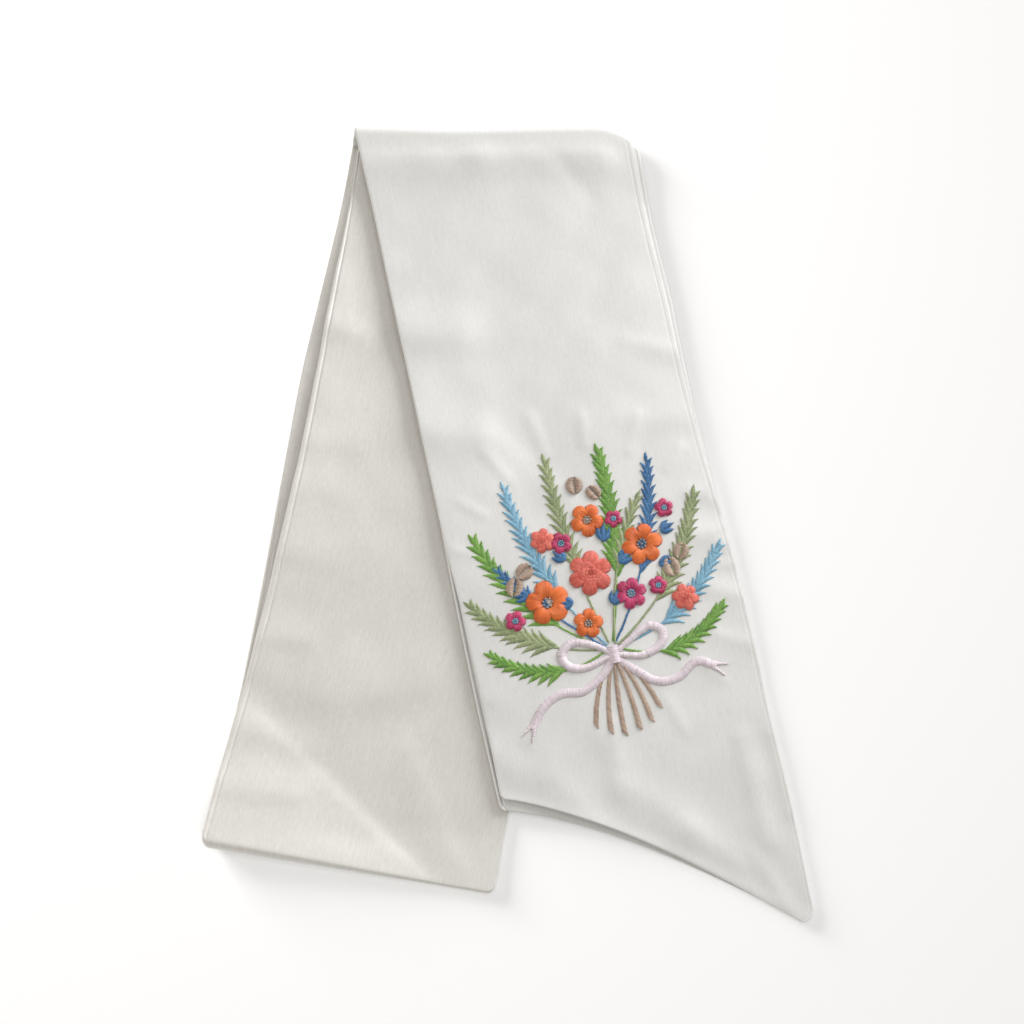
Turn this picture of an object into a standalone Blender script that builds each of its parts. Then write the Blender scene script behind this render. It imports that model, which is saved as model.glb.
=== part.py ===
"""A satin sash lying folded on a table.

The sash is one long flat strip of two satin plies, sewn round and turned, with slanted ends.
It is folded in half, which makes the bottom fold, and the pair is folded over once more, which
makes the top fold. So four layers lie on each other. From the table up they are run_lower,
run_upper, tail_lower and tail_upper. The run goes down to the left from the top fold, and the
tail goes down to the right over it, with both slanted ends at its tip.

X is to the right, Y is up the sash towards the top fold, and Z is up from the table. Sizes are
in millimetres until the points go into a mesh. The origin is on the table, under the middle of
the folded sash.
"""

from collections import namedtuple

import bpy
import numpy as np

MM = 0.001

# The cloth. A wall is both plies with the seam allowance between them.
WALL = 1.5
LAYER_GAP = 0.5
SEAM_GAP = 0.3
EDGE_ROUNDING = 0.6
STEP = WALL + LAYER_GAP

# The top fold. The two tail layers wrap round the same centre, one inside the other.
TOP_FOLD_Y = 184.4
INNER_LOOP = 1.9
TOP_LOOP_CENTRE = STEP + WALL / 2 + INNER_LOOP
OUTER_LOOP = TOP_LOOP_CENTRE - WALL / 2
TOP_SPRING_Y = TOP_FOLD_Y - OUTER_LOOP - WALL / 2
TOP_LIFT = TOP_LOOP_CENTRE + INNER_LOOP - WALL / 2 - 2 * STEP
TOP_LIFT_REACH = 27.0
TOP_WAVE = 0.65
TOP_WAVE_LENGTH = 130.0
TOP_WAVE_ZERO_X = 10.0
TOP_CORNER_X = 60.0
TOP_CORNER_LENGTH = 18.0
TOP_CORNER_DROP = 6.0
TOP_TUCK = 3.0
RUN_HEAD_DOWN = TOP_FOLD_Y - TOP_SPRING_Y + TOP_TUCK + SEAM_GAP

# The bottom fold, a loop of the run alone, between its two corners.
BOTTOM_LEFT = np.array((-135.4, -153.8))
BOTTOM_RIGHT = np.array((-6.2, -173.6))
BOTTOM_CORNER_RADIUS = 3.5
BOTTOM_LOOP = 1.6
BOTTOM_REACH = 22.0
BOTTOM_RISE_POWER = 1.15
BOTTOM_LEG = 8.4
BOTTOM_LENGTH = np.linalg.norm(BOTTOM_RIGHT - BOTTOM_LEFT)
BOTTOM_FOLD = (BOTTOM_RIGHT - BOTTOM_LEFT) / BOTTOM_LENGTH
BOTTOM_OUTWARD = np.array((BOTTOM_FOLD[1], -BOTTOM_FOLD[0]))

# The slack panel at the bottom fold's left corner: how far it rises there, the share along the fold
# where its crease ends, how far up the run its plane reaches for each share of the fold, and how
# softly the crease is rounded at its top and at its foot.
PANEL_RISE = 8.4
PANEL_FOOT_SHARE = 0.8
PANEL_LENGTH = 88.0
PANEL_SOFT_TOP = 0.07
PANEL_SOFT_FOOT = 0.012

# The slanted ends. Each bows in a little between its two corners.
UPPER_END_LEFT = np.array((-2.9, -132.7))
UPPER_END_RIGHT = np.array((135.2, -185.1))
LOWER_END_LEFT = np.array((-2.0, -137.7))
LOWER_END_RIGHT = np.array((134.0, -184.0))
END_BOW = 6.5
END_BOW_SKEW = 0.8
END_CORNER_RADIUS = 3.0
END_THINNING = 0.5

# Where the tail leaves the run, it comes down to the table over this width.
DRAPE_START = 1.0
DRAPE_WIDTH = 110.0

# The run's upper layer stands off the lower one in a broad swell down its middle. The swell dies
# out under the tail, and the lower layer's left edge curls up under it.
SWELL_HEIGHT = 2.4
SWELL_Y = 0.0
SWELL_REACH_UP = 80.0
SWELL_REACH_DOWN = 72.0
SWELL_UNDER_TAIL = 60.0
CURL_SHARE = 0.85
CURL_WIDTH = 26.0

# Where the run's soft ridges have died out beside the tail, over what width they come up from
# there, and how far from a fold any ridge has its whole height.
PRESSED_BESIDE_TAIL = 4.0
PRESSED_FADE = 20.0
FOLD_CLEARANCE = 12.0

# How far along a stretch the shape of its fold or end is felt.
HEAD_REACH = 0.25
FOOT_REACH = 0.35

# Points across a layer, two of them close to each edge, and the length of a row of faces. The
# last rows of a slanted end are these shares of its corner radius from the end.
COLUMNS = 17
EDGE_COLUMNS = (0.0, 0.011, 0.035)
ROW_LENGTH = 8.5
FLAT_ROW_LENGTH = 18.0
LOOP_ROWS = 7
END_ROWS = (0.5, 0.15, 0.0)

SATIN_COLOUR = (0.74, 0.71, 0.64, 1.0)
SATIN_ROUGHNESS = 0.42
SATIN_METALLIC = 0.0

# The tail's edges at each distance down from the top fold: x of the upper layer's left and right
# edge, then how far the lower layer shows past each of them. A negative value is tucked in.
TailRow = namedtuple("TailRow", "down left right shows_left shows_right")
TAIL = (
    TailRow(0, -74.4, 58.6, -2.8, 4.0),
    TailRow(40, -65.1, 66.0, -2.8, 3.5),
    TailRow(80, -56.3, 73.7, -2.6, 3.0),
    TailRow(120, -47.2, 81.5, -2.2, 2.3),
    TailRow(160, -38.3, 90.7, -1.4, 1.4),
    TailRow(200, -29.3, 101.3, 0.4, -0.4),
    TailRow(240, -19.4, 110.3, 2.3, -1.0),
    TailRow(280, -10.3, 117.8, 2.7, -1.0),
    TailRow(320, -2.2, 126.2, 1.4, -0.9),
    TailRow(372, 8.5, 135.4, 1.0, -0.8),
)

# The run's edges in the same way: x of the lower layer's left edge, how far the upper layer lies
# inside it, and x of the right edge, which the two layers share.
RunRow = namedtuple("RunRow", "down left upper_inside right")
RUN = (
    RunRow(0, -74.6, 3.0, 61.0),
    RunRow(40, -80.9, 4.3, 53.5),
    RunRow(80, -89.0, 5.6, 46.0),
    RunRow(120, -97.0, 7.4, 38.4),
    RunRow(160, -103.1, 7.0, 30.9),
    RunRow(200, -109.1, 5.1, 23.4),
    RunRow(240, -115.4, 3.1, 15.9),
    RunRow(280, -121.8, 1.8, 8.4),
    RunRow(320, -129.2, 0.8, 0.8),
    RunRow(360, -136.0, 0.2, -6.7),
)

# The largest soft folds: a ridge from one point to another, its half width and its height.
Ridge = namedtuple("Ridge", "x y to_x to_y half_width height")
RUN_RIDGES = (
    Ridge(-76, 150, -103, -10, 15, 1.2),
    Ridge(-72, -87, -26, -77, 15, 0.8),
    Ridge(-84, 86, -60, 80, 8, 0.9),
    Ridge(-94, 31, -70, 27, 8, 0.4),
)
TAIL_RIDGES = (
    Ridge(-62, 158, 24, 171, 9, 0.9),
    Ridge(-54, 81, -24, 80, 12, 1.3),
    Ridge(-44, 35, -14, 32, 12, 0.9),
    Ridge(20, -124, 60, -156, 7, 0.7),
    Ridge(50, -126, 102, -160, 7, 0.8),
    Ridge(105, -106, 115, -150, 6, 0.6),
)


def smooth(share):
    """Goes from 0 to 1 over a share of 0 to 1, level at both ends."""
    share = np.clip(share, 0, 1)
    return share * share * (3 - 2 * share)


def column(rows, name, down):
    """One column of a table at any distance down, as a smooth curve through the rows' values."""
    downs = np.array([row.down for row in rows], float)
    values = np.array([getattr(row, name) for row in rows], float)
    slopes = np.gradient(values, downs)
    down = np.clip(down, downs[0], downs[-1])
    k = np.clip(np.searchsorted(downs, down, side="right") - 1, 0, len(downs) - 2)
    length = downs[k + 1] - downs[k]
    t = (down - downs[k]) / length
    start = (1 + 2 * t) * (1 - t) ** 2 * values[k] + t * (1 - t) ** 2 * length * slopes[k]
    end = t * t * (3 - 2 * t) * values[k + 1] + t * t * (t - 1) * length * slopes[k + 1]
    return start + end


def corner(distance, radius):
    """How far an edge turns in at a distance from its rounded corner."""
    left = np.clip(radius - distance, 0, radius)
    return radius - np.sqrt(radius**2 - left**2)


def top_line(x):
    """How far the top fold departs from a straight line at x: a slight wave and a soft right corner."""
    wave = TOP_WAVE * np.sin(2 * np.pi * (x - TOP_WAVE_ZERO_X) / TOP_WAVE_LENGTH)
    into_corner = np.clip((x - TOP_CORNER_X) / TOP_CORNER_LENGTH + 1, 0, None)
    return wave - TOP_CORNER_DROP * into_corner**2


def bottom_line(along):
    """How far the bottom fold draws in at its two rounded corners, by the distance along it."""
    return corner(along, BOTTOM_CORNER_RADIUS) + corner(BOTTOM_LENGTH - along, BOTTOM_CORNER_RADIUS)


def panel(share, inward):
    """Rise of the slack panel at the bottom fold's left corner: a plane that climbs to the corner
    from a slanted crease, which a parabola rounds."""
    beyond = PANEL_FOOT_SHARE - share - inward / PANEL_LENGTH
    soft = PANEL_SOFT_TOP + (PANEL_SOFT_FOOT - PANEL_SOFT_TOP) * np.clip(share / PANEL_FOOT_SHARE, 0, 1)
    rounded = np.clip(beyond + soft, 0, 2 * soft) ** 2 / (4 * soft) + np.clip(beyond - soft, 0, None)
    return PANEL_RISE / PANEL_FOOT_SHARE * rounded


def bottom_loop(share):
    """Radius of the bottom fold's turn, which is slacker towards its left corner."""
    return BOTTOM_LOOP + panel(share, 0.0) / 2


def bell(y):
    """Share of the swell at a place along the run: a bell with its own reach up and down."""
    return np.exp(-(((y - SWELL_Y) / np.where(y > SWELL_Y, SWELL_REACH_UP, SWELL_REACH_DOWN)) ** 2))


def swell(x, y):
    """Height of the run's swell, which dies out under the tail."""
    past_edge = x - column(TAIL, "left", TOP_FOLD_Y - y)
    return SWELL_HEIGHT * bell(y) * (1 - smooth(past_edge / SWELL_UNDER_TAIL))


def ridges(rows, x, y):
    """Height of the soft ridges at a point: each has a bell-shaped section and fades past its ends."""
    height = np.zeros_like(x)
    for row in rows:
        along = np.array((row.to_x - row.x, row.to_y - row.y), float)
        share = ((x - row.x) * along[0] + (y - row.y) * along[1]) / (along @ along)
        share = np.clip(share, 0, 1)
        away = np.hypot(x - row.x - share * along[0], y - row.y - share * along[1])
        height += row.height * np.exp(-((away / row.half_width) ** 2))
    return height


def run_lower_under(x, y):
    """The lowest layer lies flat on the table, but for its left edge, which curls up a little."""
    from_left = x - column(RUN, "left", TOP_FOLD_Y - y)
    return CURL_SHARE * SWELL_HEIGHT * bell(y) * (1 - smooth(from_left / CURL_WIDTH))


def run_upper_under(x, y):
    """Underside of the run's upper layer: its swell, its soft ridges, which die out where the tail
    presses them flat, and its rise to the bottom fold with the slack panel."""
    outward = (x - BOTTOM_LEFT[0]) * BOTTOM_OUTWARD[0] + (y - BOTTOM_LEFT[1]) * BOTTOM_OUTWARD[1]
    along = (x - BOTTOM_LEFT[0]) * BOTTOM_FOLD[0] + (y - BOTTOM_LEFT[1]) * BOTTOM_FOLD[1]
    share = np.clip(along / BOTTOM_LENGTH, 0, 1)
    from_spring = -outward - bottom_loop(share) - WALL / 2
    rise = (1 - np.clip(from_spring / BOTTOM_REACH, 0, 1)) ** BOTTOM_RISE_POWER
    lift = (2 * BOTTOM_LOOP - STEP) * rise + panel(share, np.clip(from_spring, 0, None))
    tail_edge = column(TAIL, "left", TOP_FOLD_Y - y)
    clear_of_tail = smooth((tail_edge - PRESSED_BESIDE_TAIL - x) / PRESSED_FADE)
    clear_of_fold = smooth(from_spring / FOLD_CLEARANCE)
    return STEP + swell(x, y) + lift + ridges(RUN_RIDGES, x, y) * clear_of_tail * clear_of_fold


def tail_lower_under(x, y):
    """Underside of the tail's lower layer: on the run and its swell, up to the top fold, and down to
    the table."""
    down = TOP_FOLD_Y - y
    outside = x - column(RUN, "right", down) - DRAPE_START
    on_run = 2 * STEP * (1 - smooth(outside / DRAPE_WIDTH))
    from_spring = TOP_SPRING_Y + top_line(x) - y
    return on_run + swell(x, y) + TOP_LIFT * (1 - smooth(from_spring / TOP_LIFT_REACH))


def tail_upper_under(x, y):
    """Underside of the tail's upper layer: on the lower one, with soft ridges of its own."""
    clear_of_fold = smooth((TOP_SPRING_Y + top_line(x) - y) / FOLD_CLEARANCE)
    return tail_lower_under(x, y) + STEP + ridges(TAIL_RIDGES, x, y) * clear_of_fold


def tail_edges(upper):
    """The two edges of a tail layer, as functions of the distance down."""
    if upper:
        return (
            lambda down: column(TAIL, "left", down),
            lambda down: column(TAIL, "right", down),
        )
    return (
        lambda down: column(TAIL, "left", down) - column(TAIL, "shows_left", down),
        lambda down: column(TAIL, "right", down) + column(TAIL, "shows_right", down),
    )


def run_edges(upper):
    """The two edges of a run layer, as functions of the distance down."""
    inside = 1.0 if upper else 0.0
    return (
        lambda down: column(RUN, "left", down) + inside * column(RUN, "upper_inside", down),
        lambda down: column(RUN, "right", down),
    )


def across_shares():
    """Shares across a layer: close together at the edges, where corners are round, and then even."""
    near = np.array(EDGE_COLUMNS)
    middle = np.linspace(near[-1], 1 - near[-1], COLUMNS - 2 * (len(near) - 1))
    return np.concatenate([near[:-1], middle, 1 - near[-2::-1]])


def plan_grid(edges, head_down, foot_downs, shares):
    """Points of a layer seen from above, a row for each share of its length.

    Each row is a straight line between the edges at that share, so rows fan out from the level
    top fold to the slant of the other end.
    """
    shares = np.asarray(shares)[:, None]
    across = across_shares()[None, :]
    ends = []
    for edge, foot_down in zip(edges, foot_downs):
        down = head_down + (foot_down - head_down) * shares
        ends.append((edge(down), TOP_FOLD_Y - down))
    (left_x, left_y), (right_x, right_y) = ends
    x = left_x + (right_x - left_x) * across
    y = left_y + (right_y - left_y) * across
    y = y + top_line(x) * (1 - smooth(shares / HEAD_REACH))
    return x, y, across


def even_shares(length, row_length, skip=0.0):
    """Shares of a length at even rows, leaving out its last stretch of the given size."""
    end = 1 - skip / length
    return np.linspace(0, end, int(np.ceil(length * end / row_length)) + 1)


def drawn_in(points):
    """A row of points whose two ends are moved towards their neighbours, to round the edges."""
    moved = points.copy()
    for end, neighbour in ((0, 1), (-1, -2)):
        inward = points[neighbour] - points[end]
        moved[end] += inward * EDGE_ROUNDING / np.linalg.norm(inward)
    return moved


def ring(upper, middle, lower):
    """A closed section of a layer: across its top, round one edge, back below, and round the other."""
    return np.concatenate([drawn_in(upper), middle[-1:], drawn_in(lower)[::-1], middle[:1]])


def loop_rings(x, y, leg_x, outward, radius, centre):
    """Sections round a half turn of the cloth, from its lower leg up to its upper one.

    The points x, y are the line where the upper leg starts, leg_x is where the lower leg lies,
    and outward is the way in plan that the turn bulges. The outer face of the loop comes first in
    a ring, as the top face does. The radius and the height of the centre may vary across.
    """
    rings = []
    for angle in np.linspace(np.pi, 0, LOOP_ROWS + 2)[:-1]:
        turned_x = x + (leg_x - x) * angle / np.pi
        faces = []
        for r in (radius + WALL / 2, radius, radius - WALL / 2):
            reach = r * np.sin(angle)
            height = np.zeros_like(x) + centre + r * np.cos(angle)
            face = (turned_x + outward[0] * reach, y + outward[1] * reach, height)
            faces.append(np.stack(face, axis=1))
        rings.append(ring(*faces))
    return rings


def layer_rings(x, y, under, thinning=None):
    """Sections of the flat part of a layer, whose underside follows a height given over the plan."""
    rings = []
    for k in range(len(x)):
        bottom = under(x[k], y[k])
        trim = WALL * (1 - thinning[k]) / 2 if thinning is not None else 0.0
        heights = (bottom + WALL - trim, bottom + WALL / 2, bottom + trim)
        rings.append(ring(*(np.stack([x[k], y[k], height], axis=1) for height in heights)))
    return rings


def leg_ring(x, y, bottom):
    """The cut section of a loop's lower leg, with the outer face first, which is its underside."""
    heights = (bottom, bottom + WALL / 2, bottom + WALL)
    return ring(*(np.stack([x, y, np.full_like(x, height)], axis=1) for height in heights))


def solid(name, rings, colour):
    """Joins the sections into one closed skin with a cap at each end, as an object of its own."""
    count = len(rings[0])
    across = (count - 2) // 2
    faces = []
    for k in range(len(rings) - 1):
        a, b = k * count, (k + 1) * count
        for j in range(count):
            following = (j + 1) % count
            faces.append((a + j, b + j, b + following, a + following))
    for first in (0, (len(rings) - 1) * count):
        over = [first + j for j in range(across)]
        below = [first + count - 2 - j for j in range(across)]
        right, left = first + across, first + count - 1
        cap = [(over[j], over[j + 1], below[j + 1], below[j]) for j in range(across - 1)]
        cap += [(left, over[0], below[0]), (over[-1], right, below[-1])]
        faces += cap if first == 0 else [face[::-1] for face in cap]
    mesh = bpy.data.meshes.new(name)
    mesh.from_pydata((np.concatenate(rings) * MM).tolist(), [], faces)
    mesh.validate()
    mesh.shade_smooth()
    mesh.materials.append(satin(name, colour))
    thing = bpy.data.objects.new(name, mesh)
    bpy.context.scene.collection.objects.link(thing)
    return thing


def satin(name, colour):
    """Ivory satin: a soft sheen with no metal in it."""
    material = bpy.data.materials.new(name + "_satin")
    material.use_nodes = True
    shader = material.node_tree.nodes["Principled BSDF"]
    shader.inputs["Base Color"].default_value = colour
    shader.inputs["Roughness"].default_value = SATIN_ROUGHNESS
    shader.inputs["Metallic"].default_value = SATIN_METALLIC
    return material


def end_shares(length):
    """Rows of a tail layer: even ones, and close ones round its end corners."""
    close = 1 - np.array(END_ROWS) * END_CORNER_RADIUS / length
    return np.concatenate([even_shares(length, ROW_LENGTH, END_CORNER_RADIUS), close])


def tail_layer(name, upper, loop_radius, end_left, end_right, under, next_edges):
    """One layer of the tail, with its half turn at the top fold and the start of the lower leg."""
    left, right = tail_edges(upper)
    head_down = TOP_FOLD_Y - TOP_SPRING_Y
    foot_downs = (TOP_FOLD_Y - end_left[1], TOP_FOLD_Y - end_right[1])
    length = (sum(foot_downs) / 2) - head_down
    shares = end_shares(length)
    x, y, across = plan_grid((left, right), head_down, foot_downs, shares)
    bow = END_BOW * np.sin(np.pi * across**END_BOW_SKEW)
    y = y + bow * smooth((shares[:, None] - 1 + FOOT_REACH) / FOOT_REACH)
    turned_in = corner((1 - shares[:, None]) * length, END_CORNER_RADIUS)
    x = x + turned_in * (1 - 2 * across)
    thinning = np.ones(len(shares))
    thinning[-1] = END_THINNING

    outward = np.array((0.0, 1.0))
    leg_down = head_down + TOP_TUCK
    leg_x, leg_y, _ = plan_grid(next_edges, leg_down, (leg_down, leg_down), (0.0,))
    rings = loop_rings(x[0], y[0], leg_x[0], outward, loop_radius, TOP_LOOP_CENTRE)
    leg_bottom = TOP_LOOP_CENTRE - loop_radius - WALL / 2
    rings.insert(0, leg_ring(leg_x[0], leg_y[0], leg_bottom))
    return solid(name, rings + layer_rings(x, y, under, thinning), SATIN_COLOUR)


def bottom_spring():
    """The line where the bottom fold's half turn starts, drawn in at its two rounded corners."""
    share = across_shares()
    return bottom_parallel(bottom_loop(share) + WALL / 2 + bottom_line(share * BOTTOM_LENGTH))


def bottom_parallel(inward):
    """Points across the run on a line parallel to the bottom fold, at a distance in from it."""
    along = (BOTTOM_RIGHT - BOTTOM_LEFT) * across_shares()[:, None]
    line = BOTTOM_LEFT + along - BOTTOM_OUTWARD * np.broadcast_to(inward, COLUMNS)[:, None]
    return line[:, 0], line[:, 1]


def run_grid(edges, head_down, foot_x, foot_y, row_length):
    """Points of a run layer from its top joint to the line that its foot ends on."""
    foot_downs = (TOP_FOLD_Y - foot_y[0], TOP_FOLD_Y - foot_y[-1])
    length = sum(foot_downs) / 2 - head_down
    shares = even_shares(length, row_length)
    x, y, _ = plan_grid(edges, head_down, foot_downs, shares)
    to_foot = smooth((shares[:, None] - 1 + FOOT_REACH) / FOOT_REACH)
    return x + (foot_x - x[-1]) * to_foot, y + (foot_y - y[-1]) * to_foot


def run_upper():
    """The run's upper layer, from its top joint to the bottom fold and the start of its lower leg."""
    x, y = run_grid(run_edges(upper=True), RUN_HEAD_DOWN, *bottom_spring(), ROW_LENGTH)
    radius = bottom_loop(across_shares())
    loop = loop_rings(x[-1], y[-1], x[-1], BOTTOM_OUTWARD, radius, WALL / 2 + radius)
    leg_x, leg_y = bottom_parallel(BOTTOM_LEG)
    rings = layer_rings(x, y, run_upper_under)
    rings += loop[::-1] + [leg_ring(leg_x, leg_y, 0.0)]
    return solid("run_upper", rings, SATIN_COLOUR)


def run_lower():
    """The run's lower layer, flat on the table between its two joints."""
    foot = bottom_parallel(BOTTOM_LEG + SEAM_GAP)
    x, y = run_grid(run_edges(upper=False), RUN_HEAD_DOWN, *foot, FLAT_ROW_LENGTH)
    return solid("run_lower", layer_rings(x, y, run_lower_under), SATIN_COLOUR)


for leftover in list(bpy.data.objects):
    bpy.data.objects.remove(leftover, do_unlink=True)

run_lower()
run_upper()
tail_layer(
    "tail_lower", False, INNER_LOOP, LOWER_END_LEFT, LOWER_END_RIGHT, tail_lower_under, run_edges(upper=True)
)
tail_layer(
    "tail_upper", True, OUTER_LOOP, UPPER_END_LEFT, UPPER_END_RIGHT, tail_upper_under, run_edges(upper=False)
)
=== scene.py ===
"""A satin sash lying folded on a table: its cloth, its embroidery and its light.

The sash is one long strip in two plies, folded in half and then over. Four stretches of it lie on
each other. From the table up they are the run's lower and upper layer and the tail's lower and
upper layer. X is to the right, Y is up the sash and Z is up from the table. Shapes are worked out
in millimetres, and go into their meshes in metres.
"""

from collections import namedtuple

import bpy
import numpy as np
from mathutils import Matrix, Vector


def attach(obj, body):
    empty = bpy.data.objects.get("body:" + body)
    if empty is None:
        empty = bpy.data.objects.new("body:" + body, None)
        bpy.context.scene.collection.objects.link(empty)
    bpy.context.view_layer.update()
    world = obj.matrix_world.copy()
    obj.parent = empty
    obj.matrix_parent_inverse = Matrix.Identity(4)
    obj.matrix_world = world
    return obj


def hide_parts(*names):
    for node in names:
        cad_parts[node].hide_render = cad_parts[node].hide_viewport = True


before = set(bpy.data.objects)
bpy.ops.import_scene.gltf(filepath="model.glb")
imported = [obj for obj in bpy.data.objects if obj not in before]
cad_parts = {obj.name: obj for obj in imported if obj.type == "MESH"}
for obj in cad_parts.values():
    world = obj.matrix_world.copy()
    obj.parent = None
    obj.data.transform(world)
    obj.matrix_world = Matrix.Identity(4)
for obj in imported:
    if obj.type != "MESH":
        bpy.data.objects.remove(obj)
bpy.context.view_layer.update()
MM = 0.001


# The camera. It looks down on the sash from above its lower half, tilted a little up the cloth.
CAMERA_PLACE = np.array((2.1, -78.7, 506.0))
CAMERA_TILT = np.radians(8.5)
FOCAL_PIXELS = 1100.0
PICTURE_PIXELS = 1024.0
SENSOR_WIDTH = 36.0
NEAREST_SEEN = 10.0

camera_data = bpy.data.cameras.new("camera")
camera_data.sensor_width = SENSOR_WIDTH
camera_data.lens = SENSOR_WIDTH * FOCAL_PIXELS / PICTURE_PIXELS
camera_data.clip_start = NEAREST_SEEN * MM
camera = bpy.data.objects.new("camera", camera_data)
camera.location = CAMERA_PLACE * MM
camera.rotation_euler = (CAMERA_TILT, 0, 0)
bpy.context.scene.collection.objects.link(camera)
bpy.context.scene.camera = camera
bpy.context.scene.view_settings.view_transform = "Standard"


# The table and the light. The cloth has a broad soft light low on its right, a weak one above it
# that the satin shines in and a weak one at its left, in a pale room. The table has lights of its
# own, so that it stays white with a faint shadow on the right. A power here is the brightness that
# a white card facing up would get from that light.
TABLE_HALF_WIDTH = 1500.0
TABLE_DROP = 0.05
TABLE_COLOUR = (0.93, 0.93, 0.93, 1)
TABLE_ROUGHNESS = 0.8
ROOM_COLOUR = (1.0, 0.97, 0.92, 1)
ROOM_POWER = 0.33
LIGHT_DISTANCE = 1500.0
Light = namedtuple("Light", "name lit azimuth elevation size power colour")
LIGHTS = (
    Light("key", "cloth", 42, 17, 950, 0.46, (0.97, 0.985, 1.0)),
    Light("sheen", "cloth", 45, 62, 600, 0.12, (1.0, 1.0, 1.0)),
    Light("fill", "cloth", 190, 27, 1200, 0.2, (1.0, 0.97, 0.93)),
    Light("table_overhead", "table", 0, 88, 1200, 0.58, (1.0, 1.0, 1.0)),
    Light("table_side", "table", 142, 19, 650, 0.33, (1.0, 0.99, 0.98)),
)
lit_things = {name: bpy.data.collections.new(name) for name in ("cloth", "table")}

for row in LIGHTS:
    azimuth, elevation = np.radians(row.azimuth), np.radians(row.elevation)
    level = np.cos(elevation)
    away = Vector((level * np.cos(azimuth), level * np.sin(azimuth), np.sin(elevation)))
    data = bpy.data.lights.new(row.name, "AREA")
    data.size = row.size * MM
    data.energy = row.power * np.pi**2 * (LIGHT_DISTANCE * MM) ** 2 / np.sin(elevation)
    data.color = row.colour
    light = bpy.data.objects.new(row.name, data)
    light.location = away * LIGHT_DISTANCE * MM
    light.rotation_euler = away.to_track_quat("Z", "Y").to_euler()
    light.light_linking.receiver_collection = lit_things[row.lit]
    bpy.context.scene.collection.objects.link(light)

world = bpy.data.worlds.new("room")
world.use_nodes = True
room = world.node_tree.nodes["Background"]
room.inputs["Color"].default_value = ROOM_COLOUR
room.inputs["Strength"].default_value = ROOM_POWER
bpy.context.scene.world = world

corners = np.array([(-1, -1), (1, -1), (1, 1), (-1, 1)]) * TABLE_HALF_WIDTH
table_mesh = bpy.data.meshes.new("table")
table_mesh.from_pydata([(x * MM, y * MM, -TABLE_DROP * MM) for x, y in corners], [], [(0, 1, 2, 3)])
table_paint = bpy.data.materials.new("table_white")
table_paint.use_nodes = True
table_surface = table_paint.node_tree.nodes["Principled BSDF"]
table_surface.inputs["Base Color"].default_value = TABLE_COLOUR
table_surface.inputs["Roughness"].default_value = TABLE_ROUGHNESS
table_mesh.materials.append(table_paint)
table = bpy.data.objects.new("table", table_mesh)
bpy.context.scene.collection.objects.link(table)
lit_things["table"].objects.link(table)


# The run's lower layer: the stretch that lies flat on the table under everything else. It is heavy
# ivory satin in two plies, sewn round, turned and pressed, so each long edge is a soft roll with
# the seam beside it. Only its left edge shows from above.
WALL = 1.5
LAYER_GAP = 0.5
SEAM_GAP = 0.3
STEP = WALL + LAYER_GAP
CUT_WIDTH = 127.0

TOP_FOLD_Y = 184.4
INNER_LOOP = 1.9
TOP_LOOP_CENTRE = STEP + WALL / 2 + INNER_LOOP
OUTER_LOOP = TOP_LOOP_CENTRE - WALL / 2
TOP_SPRING_Y = TOP_FOLD_Y - OUTER_LOOP - WALL / 2
TOP_WAVE = 0.65
TOP_WAVE_LENGTH = 130.0
TOP_WAVE_ZERO_X = 10.0
TOP_CORNER_X = 60.0
TOP_CORNER_LENGTH = 18.0
TOP_CORNER_DROP = 6.0
TOP_TUCK = 3.0
RUN_HEAD_DOWN = TOP_FOLD_Y - TOP_SPRING_Y + TOP_TUCK + SEAM_GAP

BOTTOM_LEFT = np.array((-133.7, -152.6))
BOTTOM_RIGHT = np.array((-6.2, -173.6))
BOTTOM_LEG = 8.4
BOTTOM_LENGTH = np.linalg.norm(BOTTOM_RIGHT - BOTTOM_LEFT)
BOTTOM_FOLD = (BOTTOM_RIGHT - BOTTOM_LEFT) / BOTTOM_LENGTH
BOTTOM_OUTWARD = np.array((BOTTOM_FOLD[1], -BOTTOM_FOLD[0]))
HEAD_REACH = 0.25
FOOT_REACH = 0.35

# The run at each distance down from the top fold: x of the lower layer's left edge, how far the
# upper layer lies inside it, x of the shared right edge, and how far the upper layer's seam lies in
# from its own left edge.
RunRow = namedtuple("RunRow", "down left upper_inside right seam")
RUN = [RunRow(*row) for row in (
    (0, -74.6, 3.0, 61.0, 1.2),
    (40, -80.9, 4.3, 53.5, 1.4),
    (80, -89.0, 5.6, 46.0, 2.3),
    (120, -97.0, 7.4, 38.4, 2.5),
    (160, -103.1, 7.0, 30.9, 2.8),
    (200, -109.1, 5.1, 23.4, 3.2),
    (240, -115.4, 3.1, 15.9, 3.4),
    (280, -121.8, 2.3, 8.4, 2.9),
    (320, -129.2, 2.3, 0.8, 2.3),
    (360, -136.0, 1.9, -6.7, 1.8),
)]

# The run's upper layer stands off the lower one in a broad swell down its middle, and the lower
# layer's left edge curls up under it.
SWELL_HEIGHT = 2.4
SWELL_Y = 0.0
SWELL_REACH_UP = 80.0
SWELL_REACH_DOWN = 72.0
CURL_SHARE = 0.85
CURL_WIDTH = 26.0

# Distances in from a long edge where the cloth is worked out closely: round the roll and across the
# seam. Between them the columns are even.
EDGE_ROLL_LEFT = 0.95
EDGE_ROLL_RIGHT = 0.22
EDGE_UNDERCUT_RIGHT = 0.95
ROLL_COLUMNS = (0, 0.07, 0.2, 0.4, 0.65)
SEAM_COLUMNS = np.arange(0.95, 5.0, 0.3)
SEAM_HALF_WIDTH = 0.4
SEAM_DEPTH = 0.42
SEAM_ROLL_PUFF = 0.07
SEAM_INSET_LOWEST = 2.0
SEAM_SHARE_LOWEST = 0.3


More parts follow.
